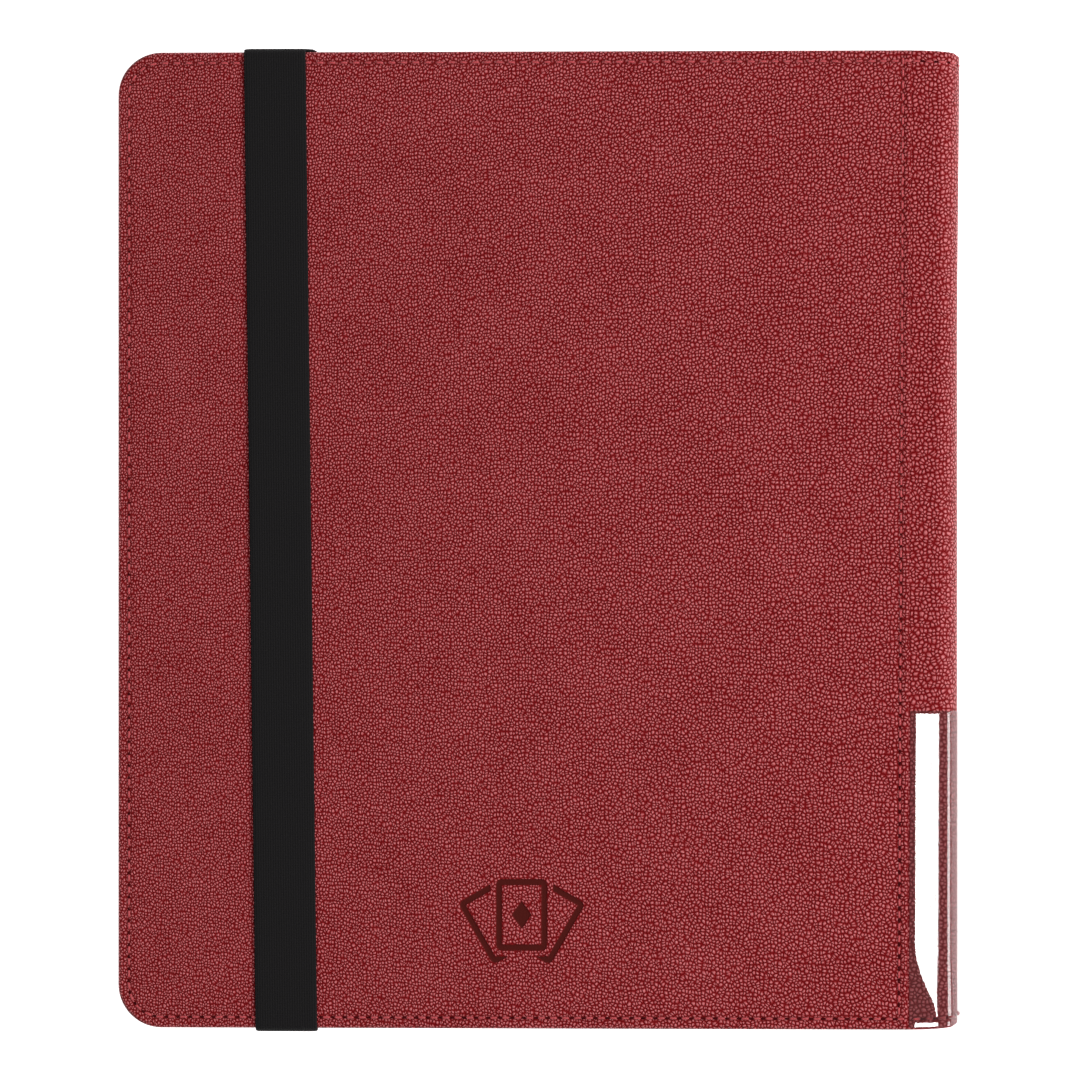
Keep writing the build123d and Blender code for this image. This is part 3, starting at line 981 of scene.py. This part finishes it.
# ---------------------------------------------------------------------------------------------
# Boards and linings.
# Greyboard stiffens the covers and the spine. A fine woven cloth is glued over its inside and
# over the leather's turned-in edges.
# ---------------------------------------------------------------------------------------------
# Dull grey pulp with fibres about 1 mm long.
greyboard, shader = speckled(
    "greyboard", 900.0, 4.0, [(0.3, "77716a"), (0.7, "9a948b")], 0.4, 0.0001, 0.92
)

# Matt black cloth with a fine square weave. Its threads are 0.5 mm apart, twice as coarse as real
# book cloth so that the weave shows.
lining_cloth, tree, shader = new_material("woven_book_cloth")
place_in = add_node(tree, "ShaderNodeTexCoord").outputs["Object"]
weave_scale = 2 * math.pi / 0.0005
split = add_node(tree, "ShaderNodeSeparateXYZ", in0=place_in)
warp, weft = [
    add_node(tree, "ShaderNodeMath", {"operation": "SINE"}, in0=add_node(
        tree, "ShaderNodeMath", {"operation": "MULTIPLY"}, in0=position, in1=weave_scale))
    for position in split.outputs[:2]
]
weave = add_node(tree, "ShaderNodeMath", {"operation": "MULTIPLY"}, in0=warp, in1=weft)
slubs = add_node(tree, "ShaderNodeMapping", {"Scale": (60.0, 900.0, 60.0)}, Vector=place_in)
slubs = add_node(tree, "ShaderNodeTexNoise", {"Scale": 1.0, "Detail": 3.0}, Vector=slubs)
weave = add_node(tree, "ShaderNodeMath", multiply_add, in0=slubs, in1=1.6, in2=weave)
tone = add_node(tree, "ShaderNodeMapRange", {"From Min": -0.8, "From Max": 2.4}, Value=weave)
stops = [(0.0, "0f0e0f"), (0.6, "232022"), (1.0, "312e30")]
tone = add_node(tree, "ShaderNodeValToRGB", {"stops": stops}, in0=tone)
bump = add_node(tree, "ShaderNodeBump", {"Strength": 0.5, "Distance": 0.0001}, Height=weave)
tree.links.new(tone.outputs[0], shader.inputs["Base Color"])
tree.links.new(bump.outputs[0], shader.inputs["Normal"])
shader.inputs["Roughness"].default_value = 0.85
shader.inputs["Sheen Weight"].default_value = 0.15

for node in ("front_cover_board", "back_cover_board", "spine_board"):
    frame["nodes"][node].data.materials.clear()
    frame["nodes"][node].data.materials.append(greyboard)

for body in ("front_cover", "back_cover", "spine"):
    node = f"{body}_lining"
    mesh = frame["nodes"][node].data.copy()
    mesh.materials.clear()
    mesh.materials.append(lining_cloth)
    cloth = bpy.data.objects.new(f"{body}_book_cloth", mesh)
    bpy.context.scene.collection.objects.link(cloth)
    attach(cloth, body)
    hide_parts(node)
    low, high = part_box(node)


# ---------------------------------------------------------------------------------------------
# Binding strip and leaves.
# Twenty leaves of black polypropylene, each with clear film welded to both sides to make three
# by three pockets, are welded by their spine edge to a moulded strip glued inside the spine.
# ---------------------------------------------------------------------------------------------
# Dull black, with the faint flow marks of moulding about 3 mm apart.
moulded_strip, shader = speckled(
    "moulded_polypropylene", 350.0, 3.0, [(0.3, "131314"), (0.7, "1e1e20")], 0.15, 0.0001, 0.5
)

# Near black, with a fine matt tooth 0.5 mm apart that keeps cards from showing through.
black_sheet, shader = speckled(
    "black_polypropylene_sheet", 1000 / 0.5, 2.0, [(0.3, "101011"), (0.7, "1a1a1c")],
    0.25, 0.00005, 0.55,
)

# Clear and faintly grey, with slow ripples 20 mm apart that break up its gloss.
pocket_film, tree, shader = new_material("clear_polypropylene_film")
place_in = add_node(tree, "ShaderNodeTexCoord").outputs["Object"]
ripple = add_node(tree, "ShaderNodeTexNoise", {"Scale": 45.0, "Detail": 1.0}, Vector=place_in)
bump = add_node(tree, "ShaderNodeBump", {"Strength": 0.2, "Distance": 0.002}, Height=ripple)
tree.links.new(bump.outputs[0], shader.inputs["Normal"])
shader.inputs["Base Color"].default_value = to_linear("9a9da2")
shader.inputs["Roughness"].default_value = 0.14
shader.inputs["Specular IOR Level"].default_value = 0.9
shader.inputs["Alpha"].default_value = 0.17

frame["nodes"]["page_binding"].data.materials.clear()
frame["nodes"]["page_binding"].data.materials.append(moulded_strip)
for name, node in frame["nodes"].items():
    if name.startswith("leaf_"):
        node.data.materials.clear()
        node.data.materials.append(pocket_film if name.endswith("_pockets") else black_sheet)


# ---------------------------------------------------------------------------------------------
# Table, light and camera.
# A white light table, which leaves no shadow, under a large soft light from the right, a small
# high light and a weak fill, and a long lens straight above.
# ---------------------------------------------------------------------------------------------
# Even white that glows, so that nothing on it throws a shadow.
opal_sheet, shader = speckled(
    "lit_opal_sheet", 3.0, 2.0, [(0.3, "fbfbfb"), (0.7, "ffffff")], 0.0, 0.0, 0.9
)
shader.inputs["Emission Color"].default_value = to_linear("ffffff")
shader.inputs["Emission Strength"].default_value = 0.9
reach = 6000.0
table_level = -0.5
corners = [(-reach, -reach), (reach, -reach), (reach, reach), (-reach, reach)]
table_top = add_piece(
    "table_top", [(x, y, table_level) for x, y in corners], [(0, 1, 2, 3)], opal_sheet, smooth=False
)


def soft_box(name, place, aim, width, length, power):
    """An area light at place, in metres, facing aim."""
    light = bpy.data.lights.new(name, "AREA")
    light.shape = "RECTANGLE"
    light.size = width
    light.size_y = length
    light.energy = power
    box = bpy.data.objects.new(name, light)
    back = (Vector(place) - Vector(aim)).normalized()
    right = Vector((0, 1, 0)).cross(back).normalized()
    box.matrix_world = Matrix.LocRotScale(
        Vector(place), Matrix((right, back.cross(right), back)).transposed(), None
    )
    box.visible_camera = False
    bpy.context.scene.collection.objects.link(box)


soft_box("key_light", (1.5, 0.25, 1.5), (0, 0, 0), 1.3, 1.3, 44.0)
soft_box("top_light", (-0.122, -0.17, 2.0), (0.124, -0.1, 0.03), 0.22, 0.4, 6.8)
soft_box("fill_light", (-1.6, -0.4, 1.8), (0, 0, 0), 1.4, 1.4, 11.0)

world = bpy.data.worlds.new("white_room")
world.use_nodes = True
bpy.context.scene.world = world
tree = world.node_tree
seen = add_node(tree, "ShaderNodeLightPath").outputs["Is Camera Ray"]
glow = add_node(tree, "ShaderNodeMapRange", {"To Min": 0.12, "To Max": 1.0}, Value=seen)
background = tree.nodes["Background"]
background.inputs["Color"].default_value = (1, 1, 1, 1)
tree.links.new(glow.outputs[0], background.inputs["Strength"])

lens = bpy.data.cameras.new("long_lens")
lens.lens = 316.6
lens.sensor_width = 36.0
lens.clip_end = 50.0
camera = bpy.data.objects.new("camera", lens)
camera.location = (0.0009, 0, 3.09)
bpy.context.scene.collection.objects.link(camera)
bpy.context.scene.camera = camera
